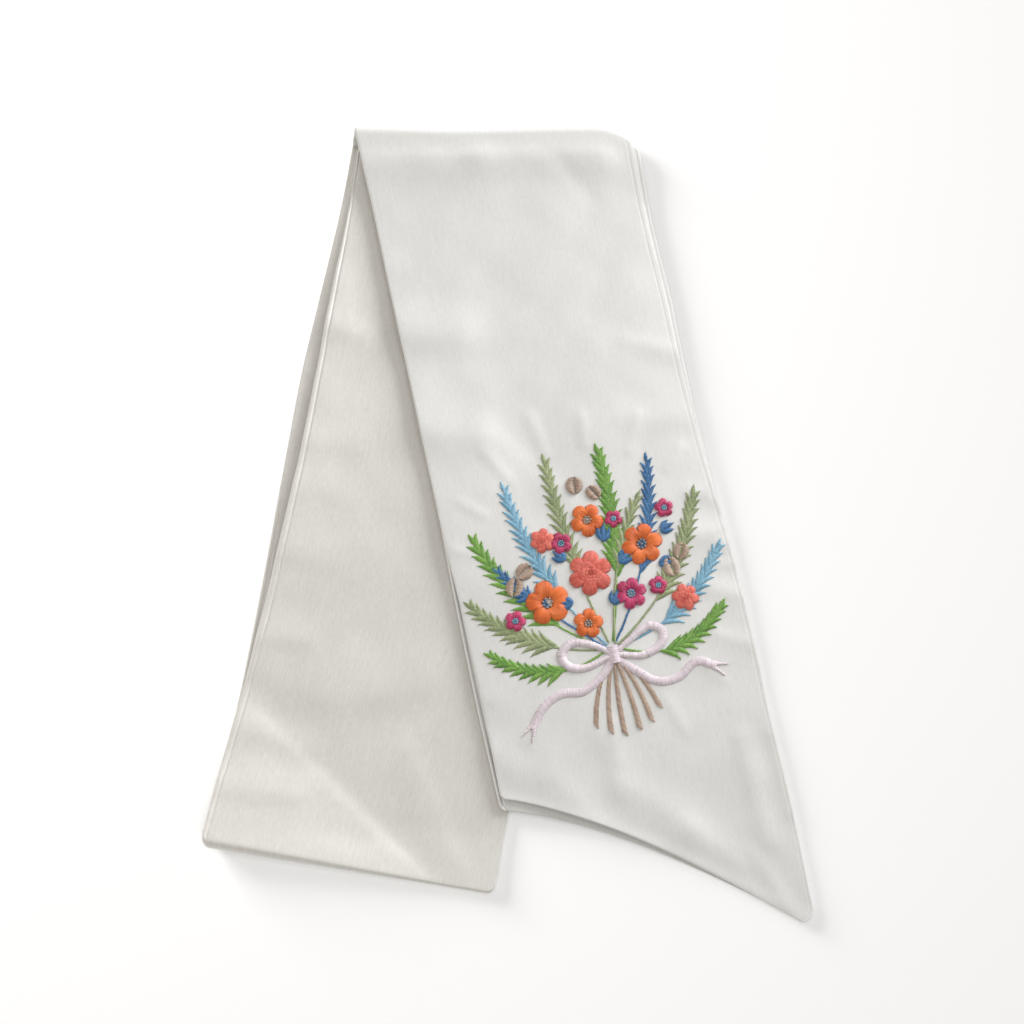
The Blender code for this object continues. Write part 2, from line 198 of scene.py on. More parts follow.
def smooth(share):
    """Goes from 0 to 1 over a share of 0 to 1, level at both ends: three squares less two cubes."""
    share = np.clip(share, 0, 1)
    return share * share * (3 - 2 * share)


def cubic(t, length, first, first_slope, last, last_slope):
    """A cubic between two values, by the share t of the length between them and their slopes."""
    start = (1 + 2 * t) * (1 - t) ** 2 * first + t * (1 - t) ** 2 * length * first_slope
    end = t * t * (3 - 2 * t) * last + t * t * (t - 1) * length * last_slope
    return start + end


def column(rows, name, down):
    """One column of a table at any distance down: a cubic between rows, with the table's slopes."""
    downs = np.array([row.down for row in rows], float)
    values = np.array([getattr(row, name) for row in rows], float)
    slopes = np.gradient(values, downs)
    down = np.clip(down, downs[0], downs[-1])
    k = np.clip(np.searchsorted(downs, down, side="right") - 1, 0, len(downs) - 2)
    length = downs[k + 1] - downs[k]
    t = (down - downs[k]) / length
    return cubic(t, length, values[k], slopes[k], values[k + 1], slopes[k + 1])


def top_line(x):
    """How far the top fold departs from a straight line: a slow sine, less a square at its right corner."""
    wave = TOP_WAVE * np.sin(2 * np.pi * (x - TOP_WAVE_ZERO_X) / TOP_WAVE_LENGTH)
    into_corner = np.clip((x - TOP_CORNER_X) / TOP_CORNER_LENGTH + 1, 0, None)
    return wave - TOP_CORNER_DROP * into_corner**2


def across_shares(spacing):
    """Shares across the strip: the close columns of an edge, even ones, and the other edge's."""
    near = np.concatenate([ROLL_COLUMNS, SEAM_COLUMNS]) / CUT_WIDTH
    count = int((1 - 2 * near[-1]) * CUT_WIDTH / spacing) + 1
    return np.concatenate([near, np.linspace(near[-1], 1 - near[-1], count)[1:-1], 1 - near[::-1]])


def rolled(distance, radius):
    """Share of the wall at a distance in from a rolled edge: a quarter circle that ends level."""
    outside = np.clip(1 - distance / radius, 0, 1)
    return np.sqrt(1 - outside**2)


def plan(edges, head_down, foot_downs, shares, across):
    """Places seen from above: straight rows between the two edges, fanned from the level top fold
    to the slant of the other end, with the fold's own wave fading out down the cloth."""
    shares = np.asarray(shares, float)[:, None]
    ends = []
    for edge, foot_down in zip(edges, foot_downs):
        down = head_down + (foot_down - head_down) * shares
        ends.append((edge(down), TOP_FOLD_Y - down))
    (left_x, left_y), (right_x, right_y) = ends
    x = left_x + (right_x - left_x) * across
    y = left_y + (right_y - left_y) * across
    return x, y + top_line(x) * (1 - smooth(shares / HEAD_REACH))


def run_edges(upper):
    """The two edges of a run layer, as functions of the distance down."""
    inside = 1.0 if upper else 0.0
    return (
        lambda down: column(RUN, "left", down) + inside * column(RUN, "upper_inside", down),
        lambda down: column(RUN, "right", down),
    )


def beside_bottom_fold(inward, across):
    """Places on a line parallel to the bottom fold, at a distance in from its outermost line."""
    along = (BOTTOM_RIGHT - BOTTOM_LEFT) * across[:, None]
    line = BOTTOM_LEFT + along - BOTTOM_OUTWARD * np.broadcast_to(inward, across.shape)[:, None]
    return line[:, 0], line[:, 1]


def run_plan(upper, foot_x, foot_y, across, row_length):
    """Places of a run layer, from its joint at the top fold to the line that its foot ends on."""
    foot_downs = (TOP_FOLD_Y - foot_y[0], TOP_FOLD_Y - foot_y[-1])
    length = sum(foot_downs) / 2 - RUN_HEAD_DOWN
    shares = np.linspace(0, 1, int(length / row_length))
    x, y = plan(run_edges(upper), RUN_HEAD_DOWN, foot_downs, shares, across)
    to_foot = smooth((shares[:, None] - 1 + FOOT_REACH) / FOOT_REACH)
    return x + (foot_x - x[-1]) * to_foot, y + (foot_y - y[-1]) * to_foot


def bell(y):
    """Share of the swell at a place along the run: a bell with its own reach up and down."""
    return np.exp(-(((y - SWELL_Y) / np.where(y > SWELL_Y, SWELL_REACH_UP, SWELL_REACH_DOWN)) ** 2))


def wall_faces(across, ends=1.0):
    """Heights of the upper and lower face over the wall's middle: half the wall, less where an edge
    or an end rolls over. Towards the right edge the cloth rolls under, so its top stays level."""
    left, right = across * CUT_WIDTH, (1 - across) * CUT_WIDTH
    share = rolled(left, EDGE_ROLL_LEFT) * rolled(right, EDGE_ROLL_RIGHT) * ends
    under = EDGE_UNDERCUT_RIGHT * across * (1 - share)
    return WALL / 2 * (share + under), WALL / 2 * (under - share)


def seam(distance, inset):
    """Height of an edge's seam: a narrow bell-shaped groove at its inset, and a low roll outside it."""
    groove = np.exp(-(((distance - inset) / SEAM_HALF_WIDTH) ** 2))
    puff = np.sin(np.pi * np.clip(distance / inset, 0, 1)) ** 2
    return SEAM_ROLL_PUFF * puff - SEAM_DEPTH * groove


def sheet_faces(x, y, under, across, relief=0.0, ends=1.0):
    """Upper and lower points of a flat stretch: the wall about its middle height, thinned where an
    edge or an end rolls over. Relief moves the upper face, and the lower one only where it rises."""
    over_middle, below_middle = wall_faces(across, ends)
    middle = under + WALL / 2
    relief = np.broadcast_to(relief, x.shape)
    upper = middle + over_middle + relief
    lower = middle + below_middle + np.clip(relief, 0, None)
    return np.stack([x, y, upper], axis=2), np.stack([x, y, lower], axis=2)


def cloth_piece(name, points, faces, material, attribute, kind, key, values):
    """A smooth piece in the cloth's own light, with an attribute on its points."""
    mesh = bpy.data.meshes.new(name)
    mesh.from_pydata((points.reshape(-1, 3) * MM).tolist(), [], faces)
    mesh.shade_smooth()
    mesh.attributes.new(attribute, kind, "POINT").data.foreach_set(key, values)
    mesh.materials.append(material)
    piece = bpy.data.objects.new(name, mesh)
    bpy.context.scene.collection.objects.link(piece)
    lit_things["cloth"].objects.link(piece)
    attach(piece, "root")
    return piece


def satin_shell(node, material, upper, lower):
    """A stretch of the sash in place of its solid, and the length of it: a closed skin from an upper
    and a lower grid of points, which share their two long edges.

    Each row gives one ring, over the top and back below. A strip of quads closes each end. The
    attribute 'strip' holds each point's place on the flat strip: across it and along it, in metres.
    """
    rows, columns = upper.shape[:2]
    edge = (upper + lower) / 2
    upper, lower = upper.copy(), lower.copy()
    upper[:, [0, -1]] = edge[:, [0, -1]]
    rings = np.concatenate([upper, lower[:, -2:0:-1]], axis=1)
    count = rings.shape[1]
    first = np.arange(rows - 1)[:, None] * count + np.arange(count)
    beside = np.arange(rows - 1)[:, None] * count + (np.arange(count) + 1) % count
    skin = np.stack([first, first + count, beside + count, beside], axis=2).reshape(-1, 4)
    over = np.arange(columns - 1)
    below = (count - over) % count
    cap = np.stack([over, over + 1, (count - over - 1) % count, below], axis=1)
    foot = cap[:, ::-1] + (rows - 1) * count
    faces = [tuple(face) for face in skin.tolist()]
    for face in np.concatenate([cap, foot]).tolist():
        faces.append(tuple(dict.fromkeys(face)))

    steps = np.linalg.norm(np.diff(edge[:, columns // 2], axis=0), axis=1)
    along = np.concatenate([[0], np.cumsum(steps)])
    widths = np.linalg.norm(np.diff(edge, axis=1), axis=2)
    across = np.concatenate([np.zeros((rows, 1)), np.cumsum(widths, axis=1)], axis=1)
    across = np.concatenate([across, across[:, -2:0:-1]], axis=1)
    strip = np.stack([across, np.broadcast_to(along[:, None], across.shape), 0 * across], axis=2)

    values = strip.ravel() * MM
    piece = cloth_piece("sash_" + node, rings, faces, material, "strip", "FLOAT_VECTOR", "vector", values)
    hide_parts(node)
    return piece, along[-1]


class Value:
    """A socket that carries a number. Operators on it add Math nodes."""

    def __init__(self, shader, socket):
        self.shader = shader
        self.socket = socket

    def _math(self, operation, *values):
        return self.shader.node("ShaderNodeMath", {"operation": operation}, dict(enumerate(values)))

    def __add__(self, other):
        return self._math("ADD", self, other)

    def __sub__(self, other):
        return self._math("SUBTRACT", self, other)

    def __rsub__(self, other):
        return self._math("SUBTRACT", other, self)

    def __mul__(self, other):
        return self._math("MULTIPLY", self, other)

    __radd__ = __add__
    __rmul__ = __mul__


class Shader:
    """A new material with one Principled surface, and one way to add any other node to it."""

    def __init__(self, name):
        self.material = bpy.data.materials.new(name)
        self.material.use_nodes = True
        self.tree = self.material.node_tree
        self.surface = self.tree.nodes["Principled BSDF"]

    def node(self, kind, settings, values, output=0):
        """Adds a node: its settings first, then the value or the link of each socket."""
        node = self.tree.nodes.new(kind)
        for setting, value in settings.items():
            setattr(node, setting, value)
        for key, value in values.items():
            self.put(node, key, value)
        return Value(self, node.outputs[output])

    def put(self, node, key, value):
        """Links a socket to a value that comes from a node, or sets it."""
        if isinstance(value, Value):
            self.tree.links.new(value.socket, node.inputs[key])
        else:
            node.inputs[key].default_value = value

    def set(self, **values):
        """Sets the surface's own sockets, such as Base_Color."""
        for key, value in values.items():
            self.put(self.surface, key.replace("_", " "), value)

    def noise(self, vector, detail, roughness):
        """A noise of unit scale over a vector."""
        settings = {"noise_dimensions": "3D"}
        values = {"Vector": vector, "Scale": 1.0, "Detail": detail, "Roughness": roughness}
        return self.node("ShaderNodeTexNoise", settings, values)

    def solid_noise(self, size, detail, roughness):
        """A noise through the piece, by its own places, with lumps of about a size in millimetres."""
        place = self.node("ShaderNodeTexCoord", {}, {}, output=3)
        return self.noise(self.scaled(place, (1 / (size * MM),) * 3), detail, roughness)

    def bump(self, height):
        """A normal that a height in metres bends."""
        return self.node("ShaderNodeBump", {}, {"Height": height, "Strength": 1.0, "Distance": 1.0})

    def scaled(self, vector, factors):
        """A vector with each part multiplied."""
        return self.node("ShaderNodeVectorMath", {"operation": "MULTIPLY"}, {0: vector, 1: factors})

    def blend(self, share, first, second):
        """A colour between two others, by a share."""
        settings = {"data_type": "RGBA", "clamp_factor": True}
        return self.node("ShaderNodeMix", settings, {0: share, 6: first, 7: second}, output=2)


# The run and the tail are one satin in two copies. The run's copy is tinted warmer and a little lighter:
# painted light, for the warm light and sheen that fall on the run's cloth.
RUN_PAINTED_LIT_LIGHT = (0.8, 0.784, 0.748, 1)
RUN_PAINTED_LIT_DEEP = (0.665, 0.644, 0.6, 1)
THREAD_ACROSS = 0.45
THREAD_ALONG = 3.2
SLUB_ACROSS = 1.3
SLUB_ALONG = 16.0
CLOUD_SIZE = 26.0
GRAIN_TONE = 1.5
SLUB_TONE = 0.7
CLOUD_TONE = 0.5
GRAIN_HEIGHT = 0.02
SLUB_HEIGHT = 0.006
SATIN_ROUGHNESS = 0.37
GRAIN_ROUGHNESS = 0.2
CLOUD_ROUGHNESS = 0.1


def satin(name, light, deep):
    """Ivory satin: fine streaks of warp along the strip, a few thicker ones, and a faint clouding."""
    shader = Shader(name)
    strip = shader.node("ShaderNodeAttribute", {"attribute_name": "strip"}, {}, output=1)
    grain_size = (1 / (THREAD_ACROSS * MM), 1 / (THREAD_ALONG * MM), 1)
    slub_size = (1 / (SLUB_ACROSS * MM), 1 / (SLUB_ALONG * MM), 1)
    grain = shader.noise(shader.scaled(strip, grain_size), detail=2.0, roughness=0.6)
    slub = shader.noise(shader.scaled(strip, slub_size), detail=2.0, roughness=0.5)
    cloud = shader.solid_noise(CLOUD_SIZE, detail=2.0, roughness=0.5)
    tone = 0.5 + (grain - 0.5) * GRAIN_TONE + (slub - 0.5) * SLUB_TONE + (cloud - 0.5) * CLOUD_TONE
    shader.set(
        Base_Color=shader.blend(tone, deep, light),
        Roughness=SATIN_ROUGHNESS + (grain - 0.5) * GRAIN_ROUGHNESS + (cloud - 0.5) * CLOUD_ROUGHNESS,
        Normal=shader.bump(grain * (GRAIN_HEIGHT * MM) + slub * (SLUB_HEIGHT * MM)),
        Specular_IOR_Level=0.7,
        Sheen_Weight=0.15,
        Sheen_Roughness=0.4,
    )
    return shader.material


# The run's copy of the satin, with its painted warm light and sheen.
RUN_SATIN_PAINTED_LIGHT = satin("ivory_satin_run_painted_light", RUN_PAINTED_LIT_LIGHT, RUN_PAINTED_LIT_DEEP)
HIDDEN_SPACING = 4.0
HIDDEN_ROW_LENGTH = 3.0

across = across_shares(HIDDEN_SPACING)
foot = beside_bottom_fold(BOTTOM_LEG + SEAM_GAP, across)
x, y = run_plan(False, *foot, across, HIDDEN_ROW_LENGTH)
left = across * CUT_WIDTH
curl = CURL_SHARE * SWELL_HEIGHT * bell(y) * (1 - smooth(left / CURL_WIDTH))
run_lower, length = satin_shell("run_lower", RUN_SATIN_PAINTED_LIGHT, *sheet_faces(
    x, y, curl, across, seam(left, SEAM_INSET_LOWEST) * SEAM_SHARE_LOWEST
))


# The run's upper layer: it comes back from under the top fold to the bottom fold, which is one
# round roll of the same strip. It lifts a little along its seam and puckers there, and a long crease
# runs down to the bottom fold's right corner.
BOTTOM_CORNER_RADIUS = 3.5
BOTTOM_LOOP = 1.6
BOTTOM_SQUASH = 0.7
BOTTOM_REACH = 22.0
BOTTOM_RISE_POWER = 1.15
PANEL_RISE = 8.4
PANEL_FOOT_SHARE = 0.8
PANEL_LENGTH = 88.0
PANEL_SOFT_TOP = 0.07
PANEL_SOFT_FOOT = 0.012

PRESSED_BESIDE_TAIL = 4.0
PRESSED_FADE = 20.0
FOLD_CLEARANCE = 12.0
LOOP_ROWS = 26
SHOWN_SPACING = 1.5
SHOWN_ROW_LENGTH = 1.3

# The tail at each distance down from the top fold: x of the upper layer's left and right edge, how
# far the lower layer shows past each of them, and how far the upper layer's right seam lies in.
TailRow = namedtuple("TailRow", "down left right shows_left shows_right seam")
TAIL = [TailRow(*row) for row in (
    (0, -74.4, 58.6, -2.8, 4.0, 2.3),
    (40, -65.1, 66.0, -2.8, 3.5, 2.3),
    (80, -56.3, 73.7, -2.6, 3.0, 2.3),
    (120, -47.2, 81.5, -2.2, 2.3, 2.2),
    (160, -38.3, 90.7, -1.4, 1.4, 2.0),
    (200, -29.3, 101.3, 0.4, -0.4, 1.7),
    (240, -19.4, 110.3, 2.3, -1.0, 1.5),
    (280, -10.3, 117.8, 2.7, -1.0, 1.3),
    (320, -2.2, 126.2, 1.4, -0.9, 1.2),
    (372, 8.5, 135.4, 1.0, -0.8, 1.2),
)]

SWELL_UNDER_TAIL = 60.0
WAVE_COUNT = 14
WAVE_SHORTEST = 16.0
WAVE_LONGEST = 46.0
WAVE_HEIGHT = 0.2
RUN_WAVE_SEED = 11

# Creases and ridges: from one point to another, the half width on the left and on the right of
# that line, and the height, which is negative for a trough.
Crease = namedtuple("Crease", "x y to_x to_y left right height")
RUN_CREASES = [Crease(*row) for row in (
    (-76, 150, -103, -10, 19, 8, 1.4),
    (-103, -10, -113, -60, 14, 8, 0.5),
    (-110, -74, -88, -85, 14, 9, 0.6),
    (-72, -87, -26, -77, 19, 11, 0.9),
    (-107, -95, -33, -165, 15, 4, -0.45),
    (-44, -112, -22, -162, 5, 11, 0.5),
    (-84, 86, -60, 80, 9, 7, 1.1),
    (-94, 31, -70, 27, 9, 7, 0.5),
    (-97, 8, -76, 4, 8, 6, 0.4),
    (-102, -22, -80, -27, 9, 6, 0.45),
    (-111, -60, -92, -62, 8, 5, 0.6),
    (-118, -100, -88, -111, 8, 6, 0.75),
    (-124, -127, -94, -131, 8, 5, 0.75),
    (-76, -148, -44, -150, 9, 6, -0.3),
)]


def creases(rows, x, y):
    """Height of the creases at a point: a bell across each line, which also fades past its ends,
    where its two half widths blend."""
    height = np.zeros_like(x)
    for row in rows:
        along = np.array((row.to_x - row.x, row.to_y - row.y), float)
        share = np.clip(((x - row.x) * along[0] + (y - row.y) * along[1]) / (along @ along), 0, 1)
        off_x, off_y = x - row.x - share * along[0], y - row.y - share * along[1]
        to_left = along[0] * off_y - along[1] * off_x
        away = np.maximum(np.hypot(off_x, off_y), 1e-6)
        side = to_left / (away * np.hypot(*along))
        half_width = (row.left + row.right + (row.left - row.right) * side) / 2
        height += row.height * np.exp(-(away / half_width) ** 2)
    return height


def waves(x, y, seed):
    """A soft unevenness: a sum of sines in seeded directions, each as high as it is long."""
    random = np.random.default_rng(seed)
    lengths = random.uniform(WAVE_SHORTEST, WAVE_LONGEST, WAVE_COUNT)
    headings = random.uniform(0, np.pi, WAVE_COUNT)
    phases = random.uniform(0, 2 * np.pi, WAVE_COUNT)
    total = np.zeros_like(x)
    for long, heading, phase in zip(lengths, headings, phases):
        across_wave = x * np.cos(heading) + y * np.sin(heading)
        total += long / WAVE_LONGEST * np.sin(2 * np.pi * across_wave / long + phase)
    return WAVE_HEIGHT * total / np.sqrt(WAVE_COUNT)


def panel(share, inward):
    """Rise of the slack panel at the bottom fold's left corner: a plane that climbs to the corner
    from a slanted crease. The crease is rounded by a parabola, softly at its top."""
    beyond = PANEL_FOOT_SHARE - share - inward / PANEL_LENGTH
    soft = PANEL_SOFT_TOP + (PANEL_SOFT_FOOT - PANEL_SOFT_TOP) * np.clip(share / PANEL_FOOT_SHARE, 0, 1)
    rounded = np.clip(beyond + soft, 0, 2 * soft) ** 2 / (4 * soft) + np.clip(beyond - soft, 0, None)
    return PANEL_RISE / PANEL_FOOT_SHARE * rounded


def bottom_loop(share):
    """Radius of the bottom fold's turn, which is slacker towards its left corner."""
    return BOTTOM_LOOP + panel(share, 0.0) / 2


def bottom_bulge(share):
    """How far the bottom fold's turn stands out from where it starts: its radius, pressed in."""
    return BOTTOM_SQUASH * (bottom_loop(share) + WALL / 2)


def beside_bottom_spring(x, y):
    """Distance in from the line where the bottom fold's turn starts, and the share along the fold."""
    outward = (x - BOTTOM_LEFT[0]) * BOTTOM_OUTWARD[0] + (y - BOTTOM_LEFT[1]) * BOTTOM_OUTWARD[1]
    along = (x - BOTTOM_LEFT[0]) * BOTTOM_FOLD[0] + (y - BOTTOM_LEFT[1]) * BOTTOM_FOLD[1]
    share = np.clip(along / BOTTOM_LENGTH, 0, 1)
    return -outward - bottom_bulge(share), share


def swell(x, y):
    """Height of the run's swell, which dies out under the tail."""
    past_edge = x - column(TAIL, "left", TOP_FOLD_Y - y)
    return SWELL_HEIGHT * bell(y) * (1 - smooth(past_edge / SWELL_UNDER_TAIL))


def run_upper_shape(x, y):
    """Underside of the run's upper layer, and its relief, which dies out at the bottom fold and where
    the tail presses it flat. The layer rises to the fold by a power of the share of the way, and
    with its slack panel."""
    inward, share = beside_bottom_spring(x, y)
    lift = (2 * BOTTOM_LOOP - STEP) * (1 - np.clip(inward / BOTTOM_REACH, 0, 1)) ** BOTTOM_RISE_POWER
    lift = lift + panel(share, np.clip(inward, 0, None))
    beside_tail = column(TAIL, "left", TOP_FOLD_Y - y) - PRESSED_BESIDE_TAIL - x
    free = smooth(beside_tail / PRESSED_FADE) * smooth(inward / FOLD_CLEARANCE)
    relief = creases(RUN_CREASES, x, y) + waves(x, y, RUN_WAVE_SEED)
    return STEP + swell(x, y) + lift, relief * free


def half_turn(x, y, leg_x, leg_y, outward, radius, centre, across, squash=1.0):
    """Upper and lower points round a fold, from its lower leg to the line x, y of its upper one.

    The cloth goes half a circle about a level axis, bulging outward in plan by a squashed share of
    the radius, and slides from where the leg lies to that line as it turns. Its outer face goes
    with the upper faces.
    """
    angle = np.linspace(np.pi, 0, LOOP_ROWS)[:-1, None]
    turned_x = x + (leg_x - x) * angle / np.pi
    faces = []
    for offset in wall_faces(across):
        r = radius + offset
        out = squash * r * np.sin(angle)
        height = centre + r * np.cos(angle)
        turn = np.stack([turned_x + outward[0] * out, y + outward[1] * out, height], axis=2)
        leg = np.stack([leg_x, leg_y, centre - r], axis=1)
        faces.append(np.concatenate([leg[None], turn]))
    return faces


def rounded_corner(distance, radius):
    """How far an edge turns in at a distance from its rounded corner: a quarter circle."""
    left = np.clip(radius - distance, 0, radius)
    return radius - np.sqrt(radius**2 - left**2)


across = across_shares(SHOWN_SPACING)
along_fold = across * BOTTOM_LENGTH
corner_in = rounded_corner(along_fold, BOTTOM_CORNER_RADIUS)
corner_in = corner_in + rounded_corner(BOTTOM_LENGTH - along_fold, BOTTOM_CORNER_RADIUS)
spring = beside_bottom_fold(bottom_bulge(across) + corner_in, across)
leg = beside_bottom_fold(BOTTOM_LEG, across)
x, y = run_plan(True, *spring, across, SHOWN_ROW_LENGTH)
under, relief = run_upper_shape(x, y)
left = across * CUT_WIDTH
relief = relief + seam(left, column(RUN, "seam", TOP_FOLD_Y - y))
upper, lower = sheet_faces(x, y, under, across, relief)
turn_upper, turn_lower = half_turn(
    x[-1], y[-1], x[-1], leg[1], BOTTOM_OUTWARD,
    bottom_loop(across), WALL / 2 + bottom_loop(across), across, BOTTOM_SQUASH,
)
upper = np.concatenate([upper, turn_upper[::-1]])
lower = np.concatenate([lower, turn_lower[::-1]])
run_upper, length = satin_shell("run_upper", RUN_SATIN_PAINTED_LIGHT, upper, lower)


# The tail's lower layer: it turns over the run inside the top fold, comes down over it to the
# right, and leaves it for the table. Its slanted end and both edges show past the layer above.
LOWER_END_LEFT = np.array((-2.0, -137.7))
LOWER_END_RIGHT = np.array((134.0, -184.0))
END_BOW = 6.5
END_BOW_SKEW = 0.8
END_ROLL = 0.95
END_CORNER_LEFT = 3.0
END_CORNER_RIGHT = 6.0
END_ROWS = np.array((6.0, 5.1, 4.3, 3.5, 2.8, 2.2, 1.7, 1.25, 0.85, 0.5, 0.25, 0.1, 0.03))
EVEN_ROWS_END = 7.0
TOP_LIFT = TOP_LOOP_CENTRE + INNER_LOOP - WALL / 2 - 2 * STEP
TOP_LIFT_REACH = 27.0
DRAPE_START = 1.0
DRAPE_WIDTH = 110.0
SEAM_INSET_LOWER = 1.8
SEAM_SHARE_RIGHT = 0.16
LEFT_LIFT = 0.4
LEFT_LIFT_REACH = 24.0
LEFT_LIFT_GROWS = 120.0
LEFT_LIFT_WAVE = 0.35
LEFT_LIFT_WAVE_LENGTH = 62.0
# The tail's copy of the same satin; the run's copy differs from it only by painted light.
TAIL_LIGHT = (0.765, 0.76, 0.745, 1)
TAIL_DEEP = (0.658, 0.651, 0.628, 1)
TAIL_SATIN = satin("ivory_satin_tail", TAIL_LIGHT, TAIL_DEEP)


def tail_lower_under(x, y):
    """Underside of the tail's lower layer: on the run and its swell, up to the top fold, down to the
    table, and lifting unevenly to its left edge."""
    down = TOP_FOLD_Y - y
    outside = x - column(RUN, "right", down) - DRAPE_START
    on_run = 2 * STEP * (1 - smooth(outside / DRAPE_WIDTH))
    from_spring = TOP_SPRING_Y + top_line(x) - y
    from_left = x - column(TAIL, "left", down)
    uneven = 1 + LEFT_LIFT_WAVE * np.sin(2 * np.pi * down / LEFT_LIFT_WAVE_LENGTH)
    edge_lift = LEFT_LIFT * uneven * (1 - smooth(from_left / LEFT_LIFT_REACH))
    edge_lift = edge_lift * smooth(from_spring / LEFT_LIFT_GROWS)
    return on_run + swell(x, y) + edge_lift + TOP_LIFT * (1 - smooth(from_spring / TOP_LIFT_REACH))


def tail_edges(lower):
    """The two edges of a tail layer, as functions of the distance down."""
    shows = 1.0 if lower else 0.0
    return (
        lambda down: column(TAIL, "left", down) - shows * column(TAIL, "shows_left", down),
        lambda down: column(TAIL, "right", down) + shows * column(TAIL, "shows_right", down),
    )


def tail_plan(edges, end_left, end_right, across, row_length):
    """Places of a tail layer from its top fold to its slanted end, which bows in and has rounded
    corners, and how far each row is from that end. The last rows are close together."""
    head_down = TOP_FOLD_Y - TOP_SPRING_Y
    foot_downs = (TOP_FOLD_Y - end_left[1], TOP_FOLD_Y - end_right[1])
    length = sum(foot_downs) / 2 - head_down
    even = np.linspace(0, 1 - EVEN_ROWS_END / length, int(length / row_length))
    shares = np.concatenate([even, 1 - END_ROWS / length])
    x, y = plan(edges, head_down, foot_downs, shares, across)
    bow = END_BOW * np.sin(np.pi * across**END_BOW_SKEW)
    y = y + bow * smooth((shares[:, None] - 1 + FOOT_REACH) / FOOT_REACH)
    from_end = (1 - shares[:, None]) * length
    corner_left = rounded_corner(from_end, END_CORNER_LEFT) * (1 - across)
    corner_right = rounded_corner(from_end, END_CORNER_RIGHT) * across
    return x + corner_left - corner_right, y, from_end


def tail_stretch(node, edges, next_edges, end_left, end_right, loop, shape, spacing, row_length):
    """One layer of the tail as a closed shell: the leg of its half turn, the turn, and the sheet."""
    across = across_shares(spacing)
    x, y, from_end = tail_plan(edges, end_left, end_right, across, row_length)
    under, relief = shape(x, y, across, from_end)
    upper, lower = sheet_faces(x, y, under, across, relief, rolled(from_end, END_ROLL))
    leg_down = TOP_FOLD_Y - TOP_SPRING_Y + TOP_TUCK
    leg_x, leg_y = plan(next_edges, leg_down, (leg_down, leg_down), (0.0,), across)
    turn_upper, turn_lower = half_turn(
        x[0], y[0], leg_x[0], leg_y[0], (0.0, 1.0), loop, TOP_LOOP_CENTRE, across
    )
    upper, lower = np.concatenate([turn_upper, upper]), np.concatenate([turn_lower, lower])
    return satin_shell(node, TAIL_SATIN, upper, lower)


def tail_lower_shape(x, y, across, from_end):
    """Underside and relief of the tail's lower layer: seams beside its edges."""
    left, right = across * CUT_WIDTH, (1 - across) * CUT_WIDTH
    seams = seam(left, SEAM_INSET_LOWER) + seam(right, SEAM_INSET_LOWER) * SEAM_SHARE_RIGHT
    return tail_lower_under(x, y), seams


tail_lower, length = tail_stretch(
    "tail_lower", tail_edges(True), run_edges(True), LOWER_END_LEFT, LOWER_END_RIGHT,
    INNER_LOOP, tail_lower_shape, HIDDEN_SPACING, HIDDEN_ROW_LENGTH,
)


# The tail's upper layer: the embroidered stretch on top of all. It has soft creases across it near
# the top fold and beside its left edge, puckers round the embroidery, and long folds at its tip.
UPPER_END_LEFT = np.array((-2.9, -132.7))
UPPER_END_RIGHT = np.array((135.2, -185.1))
END_LIP_HEIGHT = 0.28
END_LIP_REACH = 3.2
TAIL_WAVE_SEED = 5

TAIL_CREASES = [Crease(*row) for row in (
    (-66, 163, -20, 167, 9, 14, 1.4),
    (-8, 168, 44, 167, 9, 11, 1.2),
    (-56, 116, -40, 112, 12, 8, 0.4),
    (-54, 82, -24, 80, 13, 11, 1.5),
    (-44, 36, -14, 32, 13, 10, 1.0),
    (23, 169, 40, 148, 4, 5, -0.22),
    (-2, 36, 42, 0, 9, 6, -0.35),
    (56, 77, 84, 71, 4, 6, 0.4),
    (54, 40, 84, 40, 8, 7, 0.4),
    (84, 6, 97, 2, 4, 4, 0.3),
    (86, -14, 100, -18, 5, 4, 0.35),
    (90, -38, 106, -42, 5, 4, 0.35),
    (96, -60, 111, -64, 4, 4, 0.3),
    (-14, -108, 4, -120, 7, 7, 0.4),
    (20, -124, 38, -142, 7, 9, 0.55),
    (38, -142, 60, -156, 7, 8, 0.4),
    (44, -106, 50, -128, 9, 5, 0.5),
    (50, -126, 82, -147, 7, 10, 0.65),
    (82, -147, 102, -160, 6, 7, 0.5),
    (105, -106, 115, -150, 6, 5, 0.6),
    (119, -104, 126, -138, 4, 4, 0.4),
    (109, -156, 122, -177, 4, 4, 0.35),
)]


# Puckers that the stitches pull up round the posy, out from its middle: their heading, where they
# start and end, their half width and their height.
POSY_MIDDLE = np.array((41.0, -36.0))
Pucker = namedtuple("Pucker", "heading near far half_width height")
PUCKERS = [Pucker(*row) for row in (
    (8, 57, 65, 2.4, 0.2),
    (24, 58, 70, 2.8, 0.26),
    (41, 60, 76, 3.0, 0.28),
    (58, 62, 74, 2.6, 0.24),
    (76, 63, 80, 3.2, 0.3),
    (95, 64, 77, 2.8, 0.26),
    (112, 64, 82, 3.2, 0.3),
    (131, 62, 78, 3.0, 0.28),
    (150, 60, 72, 2.8, 0.26),
    (168, 58, 67, 2.4, 0.2),
    (228, 60, 72, 2.8, 0.25),
    (247, 62, 78, 3.0, 0.28),
    (276, 64, 80, 3.0, 0.28),
    (300, 62, 76, 2.8, 0.25),
    (322, 60, 72, 2.6, 0.22),
)]


def ray(turn):
    """The direction at a turn: its cosine and its sine."""
    return np.stack([np.cos(turn), np.sin(turn)], axis=-1)


def pucker_crease(row):
    """A pucker as a crease out from the posy's middle."""
    away = ray(np.radians(row.heading))
    near, far = POSY_MIDDLE + row.near * away, POSY_MIDDLE + row.far * away
    return Crease(*near, *far, row.half_width, row.half_width, row.height)


